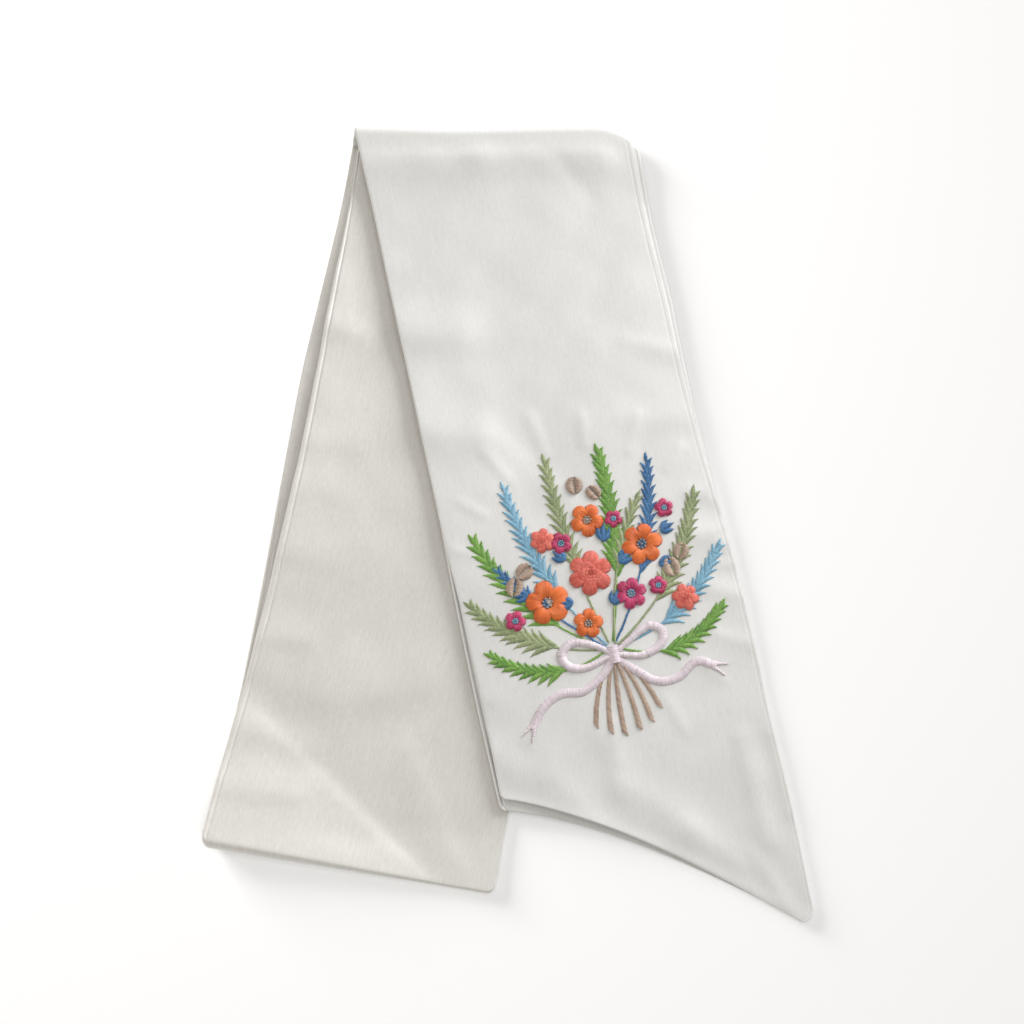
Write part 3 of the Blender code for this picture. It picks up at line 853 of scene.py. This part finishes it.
PUCKER_CREASES = [pucker_crease(row) for row in PUCKERS]


def tail_relief(x, y):
    """The creases of the tail's upper layer, and its soft unevenness."""
    hand_placed = creases(TAIL_CREASES, x, y) + creases(PUCKER_CREASES, x, y)
    return hand_placed + waves(x, y, TAIL_WAVE_SEED)


def end_lip(from_end):
    """Height of a slanted end, which curls up a little: half a bell over its last few millimetres."""
    return END_LIP_HEIGHT * np.exp(-((from_end / END_LIP_REACH) ** 2))


def tail_upper_shape(x, y, across, from_end):
    """Underside and relief of the tail's upper layer, on top of the layer below: its creases, the
    lip at its end and the seam beside its right edge."""
    right = (1 - across) * CUT_WIDTH
    clear = smooth((TOP_SPRING_Y + top_line(x) - y) / FOLD_CLEARANCE)
    relief = tail_relief(x, y) * clear + end_lip(from_end)
    relief = relief + seam(right, column(TAIL, "seam", TOP_FOLD_Y - y)) * SEAM_SHARE_RIGHT
    return tail_lower_under(x, y) + STEP, relief


tail_upper, tail_upper_length = tail_stretch(
    "tail_upper", tail_edges(False), run_edges(False), UPPER_END_LEFT, UPPER_END_RIGHT,
    OUTER_LOOP, tail_upper_shape, SHOWN_SPACING, SHOWN_ROW_LENGTH,
)


# The embroidery's bright green leaves. It is a garden posy tied with a ribbon bow, all in satin
# stitch: threads side by side, each arched over the cloth from where it comes up to where it goes
# down. Places in it are to the right of the bow's knot and up the sash from it.
POSY_KNOT = np.array((47.9, -68.9))
POSY_TURN = np.radians(12.6)
STITCH_SPACING = 0.42
STITCH_JITTER = 0.08
STITCH_SINK = 0.15
STITCH_ARCH = 0.16
STITCH_ARCH_PER_LENGTH = 0.045
COLOUR_THREAD_WIDTH = 0.5
COLOUR_THREAD_HEIGHT = 0.34
STATIONS = np.array((0.0, 0.12, 0.5, 0.88, 1.0))
STATION_SIZES = np.array((0.45, 0.95, 1.0, 0.95, 0.45))
GROUP_TONES = (0.3, 0.8)
TONE_JITTER = 0.2
TWIST_SIZE = 0.35
TWIST_TONE = 0.7
TWIST_HEIGHT = 0.04
TWIST_ROUGHNESS = 0.2
THREAD_ROUGHNESS = 0.42
LEAF_SLANT = 0.55
LEAF_TIP = 0.12
LEAF_SKEW = 0.8
LEAF_BEND = 0.1
LEAF_LONGEST = 1.15
LEAF_SHORTENS = 0.5
LAST_LEAF = 0.96
TIP_LEAF_LENGTH = 0.5
TIP_LEAF_WIDTH = 0.8
STEM_HALF_WIDTH = 0.5
STEM_TAPER = 0.4
STEM_SLANT = 1.0
STEM_SPACING = 1.0
LEAF_TURN = 38.0
LEAF_TURN_AT_TIP = 22.0
LEVEL_STEP = 0.1

GREEN_LIGHT = (0.26, 0.47, 0.1, 1)
GREEN_DEEP = (0.11, 0.26, 0.05, 1)

# A spray: its stem from a root to a tip, how far the stem bows, the share of it that is bare, the
# number of leaves, and the length and width of the lowest ones.
Spray = namedtuple("Spray", "x y to_x to_y bend bare leaves length width")
GREEN_SPRAYS = (
    Spray(-3, 4, -50, 61, 0.09, 0.3, 21, 13.0, 3.0),
    Spray(1, 6, 14, 90, -0.05, 0.34, 25, 12.5, 2.9),
    Spray(-4, 2, -53, 10, 0.16, 0.36, 17, 10.0, 2.7),
    Spray(4, 2, 52, 10, -0.18, 0.36, 17, 10.0, 2.7),
)


def cloth_top(x, y):
    """Height of the embroidered cloth's face, away from its edges."""
    return tail_lower_under(x, y) + STEP + WALL + tail_relief(x, y)


def left_of(direction):
    """A direction turned a quarter to the left."""
    return np.stack([-direction[..., 1], direction[..., 0]], axis=-1)


def bent(start, end, bend, count=24):
    """Points of a shallow arch from start to end: a parabola that rises by a share of its length."""
    start, end = np.array(start, float), np.array(end, float)
    share = np.linspace(0, 1, count)[:, None]
    return start + (end - start) * share + left_of(end - start) * bend * 4 * share * (1 - share)


def spaced(points, spacing):
    """Places at an even spacing along a line of points, the direction there, and the share of it."""
    reach = np.concatenate([[0], np.cumsum(np.hypot(*np.diff(points, axis=0).T))])
    along = np.linspace(0, reach[-1], max(int(reach[-1] / spacing), 3) + 1)
    places = np.stack([np.interp(along, reach, points[:, k]) for k in (0, 1)], axis=1)
    direction = np.gradient(places, axis=0)
    return places, direction / np.hypot(*direction.T)[:, None], along / reach[-1]


def satin_column(points, half_width, slant=0.0):
    """Stitches side by side across a line, each given by its two ends. Half width is a function of
    the share along the line, and slant is how far a stitch leans towards the line's end."""
    places, direction, share = spaced(points, STITCH_SPACING)
    half = np.broadcast_to(half_width(share), share.shape)[:, None]
    reach = (left_of(direction) + slant * direction) * half
    return np.concatenate([places - reach, places + reach], axis=1)


def leaf(start, end, bend, width):
    """A leaf of slanting stitches. Its half width is a sine that peaks before the middle."""
    return satin_column(
        bent(start, end, bend),
        lambda share: LEAF_TIP + width / 2 * np.sin(np.pi * share**LEAF_SKEW),
        LEAF_SLANT,
    )


def spray(row):
    """A stem, leaves on alternate sides of it that shorten towards its tip, and a leaf at the tip."""
    line = bent((row.x, row.y), (row.to_x, row.to_y), row.bend)
    groups = [satin_column(line, lambda share: STEM_HALF_WIDTH * (1 - STEM_TAPER * share), STEM_SLANT)]
    places, direction = spaced(line, STEM_SPACING)[:2]
    for number, at in enumerate(np.linspace(row.bare, LAST_LEAF, row.leaves)):
        k = int(at * (len(places) - 1))
        side = 1 if number % 2 else -1
        turn = side * np.radians(LEAF_TURN + (LEAF_TURN_AT_TIP - LEAF_TURN) * at)
        ahead = np.cos(turn) * direction[k] + np.sin(turn) * left_of(direction[k])
        length = row.length * (LEAF_LONGEST - LEAF_SHORTENS * at)
        groups.append(leaf(places[k], places[k] + ahead * length, -LEAF_BEND * side, row.width))
    tip = places[-1] + direction[-1] * row.length * TIP_LEAF_LENGTH
    groups.append(leaf(places[-1], tip, 0.0, row.width * TIP_LEAF_WIDTH))
    return groups


def thread(name, light, deep):
    """Shiny embroidery thread: a tone for each stitch, and the fine twist of its strands."""
    shader = Shader(name)
    tone = shader.node("ShaderNodeAttribute", {"attribute_name": "tone"}, {}, output=2)
    twist = shader.solid_noise(TWIST_SIZE, detail=1.0, roughness=0.5)
    shader.set(
        Base_Color=shader.blend(tone + (twist - 0.5) * TWIST_TONE, deep, light),
        Roughness=THREAD_ROUGHNESS + (twist - 0.5) * TWIST_ROUGHNESS,
        Normal=shader.bump(twist * (TWIST_HEIGHT * MM)),
        Sheen_Weight=0.1,
        Sheen_Roughness=0.4,
    )
    return shader.material


def stacked(shape, rows, level=0.0, step=0.0):
    """The layers of like things, one for each row: each lies a step higher than the last."""
    return [(level + step * number, shape(row)) for number, row in enumerate(rows)]


def sew(name, layers, material, seed):
    """Sews one piece of embroidery: a closed tube with four sides for each stitch.

    Layers are pairs of a level, which is how high its stitches are padded up, and groups of
    stitches, such as a leaf. A stitch's ends sink into the cloth. Its height goes by one less the
    fourth power of the distance from its middle. Each group has a tone, which its stitches vary.
    """
    random = np.random.default_rng(seed)
    rows = []
    for level, groups in layers:
        for group in groups:
            marks = np.full((len(group), 2), (level, random.uniform(*GROUP_TONES)))
            rows.append(np.concatenate([group, marks], axis=1))
    rows = np.concatenate(rows)
    count = len(rows)
    ends = rows[:, :4] + random.normal(0, STITCH_JITTER, (count, 4))
    tones = np.clip(rows[:, 5] + random.normal(0, TONE_JITTER, count), 0, 1)
    across = ray(POSY_TURN)
    up = left_of(across)
    start = POSY_KNOT + ends[:, 0:1] * across + ends[:, 1:2] * up
    span = POSY_KNOT + ends[:, 2:3] * across + ends[:, 3:4] * up - start
    length = np.hypot(*span.T)
    side = left_of(span) / length[:, None]

    middle = start[:, None] + span[:, None] * STATIONS[:, None]
    rise = 1 - (2 * STATIONS - 1) ** 4
    top = rows[:, 4] + STITCH_ARCH + STITCH_ARCH_PER_LENGTH * length
    height = cloth_top(middle[..., 0], middle[..., 1]) - STITCH_SINK + (STITCH_SINK + top[:, None]) * rise
    corner_side = np.array((1, 0, -1, 0)) * COLOUR_THREAD_WIDTH / 2
    corner_up = np.array((0, 1, 0, -1)) * COLOUR_THREAD_HEIGHT / 2
    corner_side = STATION_SIZES[:, None] * corner_side
    corner_up = STATION_SIZES[:, None] * corner_up
    flat = middle[:, :, None] + side[:, None, None] * corner_side[None, :, :, None]
    points = np.concatenate([flat, (height[:, :, None] + corner_up)[..., None]], axis=3)

    k = np.arange(4)
    first = np.arange(len(STATIONS) - 1)[:, None] * 4
    sides = np.stack([first + k, first + (k + 1) % 4, first + 4 + (k + 1) % 4, first + 4 + k], axis=2)
    far = 4 * (len(STATIONS) - 1) + k
    one = np.concatenate([sides.reshape(-1, 4), k[None, ::-1], far[None]])
    faces = (one + np.arange(count)[:, None, None] * 4 * len(STATIONS)).reshape(-1, 4)

    values = np.repeat(tones, 4 * len(STATIONS))
    piece = cloth_piece(name, points, faces.tolist(), material, "tone", "FLOAT", "value", values)


green_thread = thread("thread_bright_green", GREEN_LIGHT, GREEN_DEEP)
sew("embroidery_green_sprays", stacked(spray, GREEN_SPRAYS, step=LEVEL_STEP), green_thread, 21)


# The sage green sprays, between the bright ones.
SAGE_LIGHT = (0.42, 0.47, 0.26, 1)
SAGE_DEEP = (0.22, 0.28, 0.14, 1)
SAGE_LEVEL = 0.05
SAGE_SPRAYS = (
    Spray(-3, 3, -57, 33, 0.1, 0.34, 21, 12.0, 2.6),
    Spray(-1, 6, -11, 91, 0.03, 0.4, 21, 11.5, 2.5),
    Spray(3, 4, 52, 62, -0.09, 0.34, 23, 12.0, 2.6),
    Spray(2, 5, 26, 66, 0.06, 0.5, 13, 10.0, 2.4),
)

sage_thread = thread("thread_sage", SAGE_LIGHT, SAGE_DEEP)
sew("embroidery_sage_sprays", stacked(spray, SAGE_SPRAYS, SAGE_LEVEL, LEVEL_STEP), sage_thread, 22)


# The blue sprays: light blue at the left and the right, and a dark blue one with slim leaves.
LIGHT_BLUE_LIGHT = (0.32, 0.56, 0.7, 1)
LIGHT_BLUE_DEEP = (0.15, 0.34, 0.48, 1)
LIGHT_BLUE_LEVEL = 0.15
LIGHT_BLUE_SPRAYS = (
    Spray(-2, 5, -32, 82, 0.07, 0.38, 23, 11.5, 2.4),
    Spray(3, 3, 57, 36, -0.11, 0.34, 21, 11.0, 2.4),
)
DARK_BLUE_LIGHT = (0.09, 0.24, 0.46, 1)
DARK_BLUE_DEEP = (0.03, 0.11, 0.26, 1)
DARK_BLUE_LEVEL = 0.25
DARK_BLUE_SPRAYS = (
    Spray(2, 5, 35, 82, -0.07, 0.4, 23, 10.5, 2.2),
    Spray(-3, 4, -42, 46, 0.02, 0.5, 13, 10.0, 2.2),
)

light_blue_thread = thread("thread_light_blue", LIGHT_BLUE_LIGHT, LIGHT_BLUE_DEEP)
dark_blue_thread = thread("thread_dark_blue", DARK_BLUE_LIGHT, DARK_BLUE_DEEP)
sew(
    "embroidery_light_blue_sprays", stacked(spray, LIGHT_BLUE_SPRAYS, LIGHT_BLUE_LEVEL),
    light_blue_thread, 23,
)
sew("embroidery_dark_blue_sprays", stacked(spray, DARK_BLUE_SPRAYS, DARK_BLUE_LEVEL), dark_blue_thread, 24)


# The cut stems below the bow, and the round seed heads, both in tan.
TAN_LIGHT = (0.58, 0.44, 0.35, 1)
TAN_DEEP = (0.34, 0.24, 0.18, 1)
STEM_WIDTH = 2.5
CUT_STEM_START = 0.6
CUT_STEM_WIDENS = 0.4
CUT_STEM_SLANT = 1.2
CUT_STEM_LEVEL_STEP = 0.06
SEED_INSET = 0.15
SEED_PARTING = 0.1
SEED_LEVEL = 0.9
Stem = namedtuple("Stem", "x y to_x to_y bend")
STEMS = (
    Stem(-2, -1, -15, -29, -0.06),
    Stem(2, -1, 15, -27, 0.06),
    Stem(-1, -1, -9, -33, -0.04),
    Stem(1, -1, 10, -32, 0.05),
    Stem(0, -1, -3, -35, -0.02),
    Stem(0, -1, 4, -34, 0.03),
)
SeedHead = namedtuple("SeedHead", "x y radius turn")
SEED_HEADS = (
    SeedHead(-37, 39, 4.3, 70),
    SeedHead(-31, 45, 3.9, 30),
    SeedHead(35, 33, 4.4, 100),
    SeedHead(41, 39, 3.8, 60),
    SeedHead(0, 79, 4.0, 85),
    SeedHead(8, 74, 3.5, 120),
)


def disc(row):
    """Parallel stitches that fill a disc in two halves, which meet along its middle."""
    along = ray(np.radians(row.turn))
    side = left_of(along)
    offset = np.arange(-row.radius + SEED_INSET, row.radius, STITCH_SPACING)
    places = np.array((row.x, row.y)) + offset[:, None] * along
    half = np.sqrt(row.radius**2 - offset**2)[:, None] * side
    return [
        np.concatenate([places + SEED_PARTING * sign * side, places + sign * half], axis=1)
        for sign in (1, -1)
    ]


def cut_stem(row):
    """A stem of slanting stitches that ends a little wider."""
    line = bent((row.x, row.y), (row.to_x, row.to_y), row.bend)
    return [satin_column(
        line, lambda share: STEM_WIDTH / 2 * (CUT_STEM_START + CUT_STEM_WIDENS * share), CUT_STEM_SLANT
    )]


tan_thread = thread("thread_tan", TAN_LIGHT, TAN_DEEP)
sew("embroidery_stems", stacked(cut_stem, STEMS, step=CUT_STEM_LEVEL_STEP), tan_thread, 25)
sew("embroidery_seed_heads", stacked(disc, SEED_HEADS, SEED_LEVEL), tan_thread, 26)


# The orange blooms: open flowers with rounded petals of long stitches, and a ring of knots in tan.
ORANGE_LIGHT = (0.84, 0.22, 0.05, 1)
ORANGE_DEEP = (0.6, 0.11, 0.025, 1)
BLOOM_HEART = 0.2
BLOOM_GAP = 0.94
BLOOM_LEVEL = 0.85
ORANGE_HEART_LEVEL = 1.3
PETAL_SHOULDER = 0.62
PETAL_ROUND = 0.38
PETAL_FULL = 0.98
KNOT_SIZE = 0.55
Bloom = namedtuple("Bloom", "x y radius petals turn")
ORANGE_BLOOMS = (
    Bloom(-24, 29, 10.5, 5, 20),
    Bloom(24, 46, 10.0, 6, 5),
    Bloom(2, 62, 8.0, 5, 50),
    Bloom(-8, 16, 7.0, 5, 0),
)


def bloom(row):
    """Petals round a point, each a fan of stitches from the heart to a rounded edge."""
    groups = []
    for petal in range(row.petals):
        middle = np.radians(row.turn) + 2 * np.pi * petal / row.petals
        spread = BLOOM_GAP * np.pi / row.petals
        count = int(2 * spread * row.radius / STITCH_SPACING)
        share = np.linspace(-1, 1, count)
        rays = ray(middle + share * spread)
        edge = row.radius * (PETAL_SHOULDER + PETAL_ROUND * np.sqrt(1 - (PETAL_FULL * share) ** 2))
        centre = np.array((row.x, row.y))
        groups.append(np.concatenate([
            centre + rays * row.radius * BLOOM_HEART, centre + rays * edge[:, None]
        ], axis=1))
    return groups


def knots(row):
    """A bloom's heart: a ring of knots and one in the middle, each three short crossed stitches."""
    count = row.petals + 2
    angle = 2 * np.pi * np.arange(count) / count
    ring = ray(angle) * row.radius * BLOOM_HEART
    places = np.array((row.x, row.y)) + np.concatenate([ring, [(0.0, 0.0)]])
    groups = []
    for turn in np.radians((0, 60, 120)):
        half = KNOT_SIZE * ray(turn)
        groups.append(np.concatenate([places - half, places + half], axis=1))
    return groups


orange_thread = thread("thread_orange", ORANGE_LIGHT, ORANGE_DEEP)
sew("embroidery_orange_blooms", stacked(bloom, ORANGE_BLOOMS, BLOOM_LEVEL), orange_thread, 27)
sew("embroidery_orange_hearts", stacked(knots, ORANGE_BLOOMS, ORANGE_HEART_LEVEL), tan_thread, 28)


# The coral roses: rings of petals, each ring smaller and on top of the last, round a few knots.
CORAL_LIGHT = (0.82, 0.22, 0.16, 1)
CORAL_DEEP = (0.58, 0.09, 0.07, 1)
Rose = namedtuple("Rose", "x y radius turn")
CORAL_ROSES = (
    Rose(-2, 38, 10.5, 15),
    Rose(38, 18, 6.5, 40),
    Rose(-20, 57, 6.0, 70),
)

# A rose's rings of petals: their reach as a share of its radius, how many there are, how much each
# ring is turned, and its level.
Ring = namedtuple("Ring", "reach petals turn level")
ROSE_RINGS = (
    Ring(1.0, 6, 0, 0.8),
    Ring(0.76, 5, 25, 1.05),
    Ring(0.53, 4, 60, 1.3),
    Ring(0.31, 3, 10, 1.5),
)
ROSE_HEART_LEVEL = 1.62


def rose_layers(row):
    """The layers of a rose: rings of petals like a bloom's, each smaller and higher than the last,
    and knots in the middle."""
    rings = [
        Bloom(row.x, row.y, row.radius * ring.reach, ring.petals, row.turn + ring.turn)
        for ring in ROSE_RINGS
    ]
    petals = [(ring.level, bloom(petals)) for ring, petals in zip(ROSE_RINGS, rings)]
    return petals + [(ROSE_HEART_LEVEL, knots(rings[-1]))]


coral_thread = thread("thread_coral", CORAL_LIGHT, CORAL_DEEP)
coral_layers = [layer for row in CORAL_ROSES for layer in rose_layers(row)]
sew("embroidery_coral_roses", coral_layers, coral_thread, 29)


# The magenta blooms, smaller, with light blue knots at their hearts.
MAGENTA_LIGHT = (0.62, 0.07, 0.19, 1)
MAGENTA_DEEP = (0.34, 0.02, 0.08, 1)
MAGENTA_HEART_LEVEL = 1.2
MAGENTA_BLOOMS = (
    Bloom(14, 25, 7.5, 6, 10),
    Bloom(-12, 54, 5.5, 5, 30),
    Bloom(-40, 24, 5.0, 5, 60),
    Bloom(38, 60, 4.6, 5, 15),
    Bloom(14, 60, 4.4, 5, 45),
    Bloom(27, 26, 4.6, 5, 0),
)

magenta_thread = thread("thread_magenta", MAGENTA_LIGHT, MAGENTA_DEEP)
sew("embroidery_magenta_blooms", stacked(bloom, MAGENTA_BLOOMS, BLOOM_LEVEL), magenta_thread, 30)
sew("embroidery_magenta_hearts", stacked(knots, MAGENTA_BLOOMS, MAGENTA_HEART_LEVEL), light_blue_thread, 31)


# The blue bells and leaves among the blooms, each three slim leaves from one point.
BELL_SPREAD = 24.0
BELL_MIDDLE = 1.15
BELL_BEND = 0.08
BELL_LEVEL = 0.7
Bell = namedtuple("Bell", "x y turn length width")
BLUE_BELLS = (
    Bell(-13, 26, 160, 7, 3.0),
    Bell(12, 40, 30, 7, 2.8),
    Bell(-12, 46, 130, 6, 2.6),
    Bell(7, 51, 75, 7, 2.8),
    Bell(34, 50, 20, 6, 2.6),
    Bell(-32, 34, 170, 6, 2.6),
    Bell(5, 22, 60, 6, 2.6),
    Bell(30, 36, 350, 6, 2.6),
)


def blue_bell(row):
    """Three leaves that spread from one point."""
    groups = []
    for side in (-1, 1, 0):
        turn = np.radians(row.turn + side * BELL_SPREAD)
        length = row.length * (1.0 if side else BELL_MIDDLE)
        root = np.array((row.x, row.y))
        groups.append(leaf(root, root + length * ray(turn), BELL_BEND * side, row.width))
    return groups


sew("embroidery_blue_bells", stacked(blue_bell, BLUE_BELLS, BELL_LEVEL), dark_blue_thread, 32)


# The ribbon that ties the posy, in pale pink: two loops, two waved tails with forked ends, and the
# knot over them.
RIBBON_LIGHT = (0.86, 0.78, 0.82, 1)
RIBBON_DEEP = (0.68, 0.58, 0.63, 1)
RIBBON_HALF_WIDTH = 2.1
LOOP_HALF_WIDTH = 2.2
LOOP_ENDS = 0.55
LOOP_SWELLS = 0.45
FORK_LENGTH = 6.5
FORK_SPREAD = 17.0
FORK_START = 1.05
FORK_TAPER = 0.9
BOW_KNOT_REACH = 3.6
BOW_KNOT_HALF_WIDTH = 3.0
RIBBON_TAIL_LEVEL = 0.3
RIBBON_LOOP_LEVEL = 0.7
BOW_KNOT_LEVEL = 1.0
RIBBON_LOOPS = (
    ((0, 0), (-8, 6), (-17, 9), (-23, 5), (-21, -1), (-13, -3), (0, 0)),
    ((0, 0), (9, 5), (18, 9), (24, 6), (22, 0), (13, -3), (0, 0)),
)
RIBBON_TAILS = (
    ((0, -1), (-7, -8), (-17, -13), (-27, -12), (-36, -16), (-43, -24)),
    ((0, -1), (8, -9), (17, -16), (27, -16), (36, -11), (44, -15)),
)


def through(points, steps=12):
    """A smooth line through a few points: a cubic between each two, with its neighbours' slopes."""
    points = np.array(points, float)
    slopes = np.gradient(points, axis=0)
    t = (np.arange(steps) / steps)[:, None, None]
    line = cubic(t, 1.0, points[:-1], slopes[:-1], points[1:], slopes[1:])
    return np.concatenate([line.transpose(1, 0, 2).reshape(-1, 2), points[-1:]])


def forks(line):
    """The two points of a ribbon's end, which spread from the line's last point."""
    heading = line[-1] - line[-3]
    heading = np.arctan2(heading[1], heading[0])
    groups = []
    for side in (-1, 1):
        turn = heading + side * np.radians(FORK_SPREAD)
        ahead = ray(turn)
        off = side * RIBBON_HALF_WIDTH / 2 * left_of(ray(heading))
        start = line[-1] + off - ahead
        groups.append(satin_column(
            bent(start, start + ahead * FORK_LENGTH, 0.0),
            lambda share: RIBBON_HALF_WIDTH / 2 * (FORK_START - FORK_TAPER * share),
        ))
    return groups


ribbon_thread = thread("thread_pale_pink", RIBBON_LIGHT, RIBBON_DEEP)
tails = [through(points) for points in RIBBON_TAILS]
loops = [through(points) for points in RIBBON_LOOPS]
bow_knot = bent((0, BOW_KNOT_REACH), (0, -BOW_KNOT_REACH), 0.0)
ribbon_layers = [(RIBBON_TAIL_LEVEL, [
    satin_column(line, lambda share: RIBBON_HALF_WIDTH) for line in tails
])]
ribbon_layers += [(RIBBON_TAIL_LEVEL, forks(line)) for line in tails]
ribbon_layers.append((RIBBON_LOOP_LEVEL, [
    satin_column(line, lambda share: LOOP_HALF_WIDTH * (LOOP_ENDS + LOOP_SWELLS * np.sin(np.pi * share)))
    for line in loops
]))
ribbon_layers.append((BOW_KNOT_LEVEL, [satin_column(bow_knot, lambda share: BOW_KNOT_HALF_WIDTH)]))
sew("embroidery_ribbon", ribbon_layers, ribbon_thread, 33)
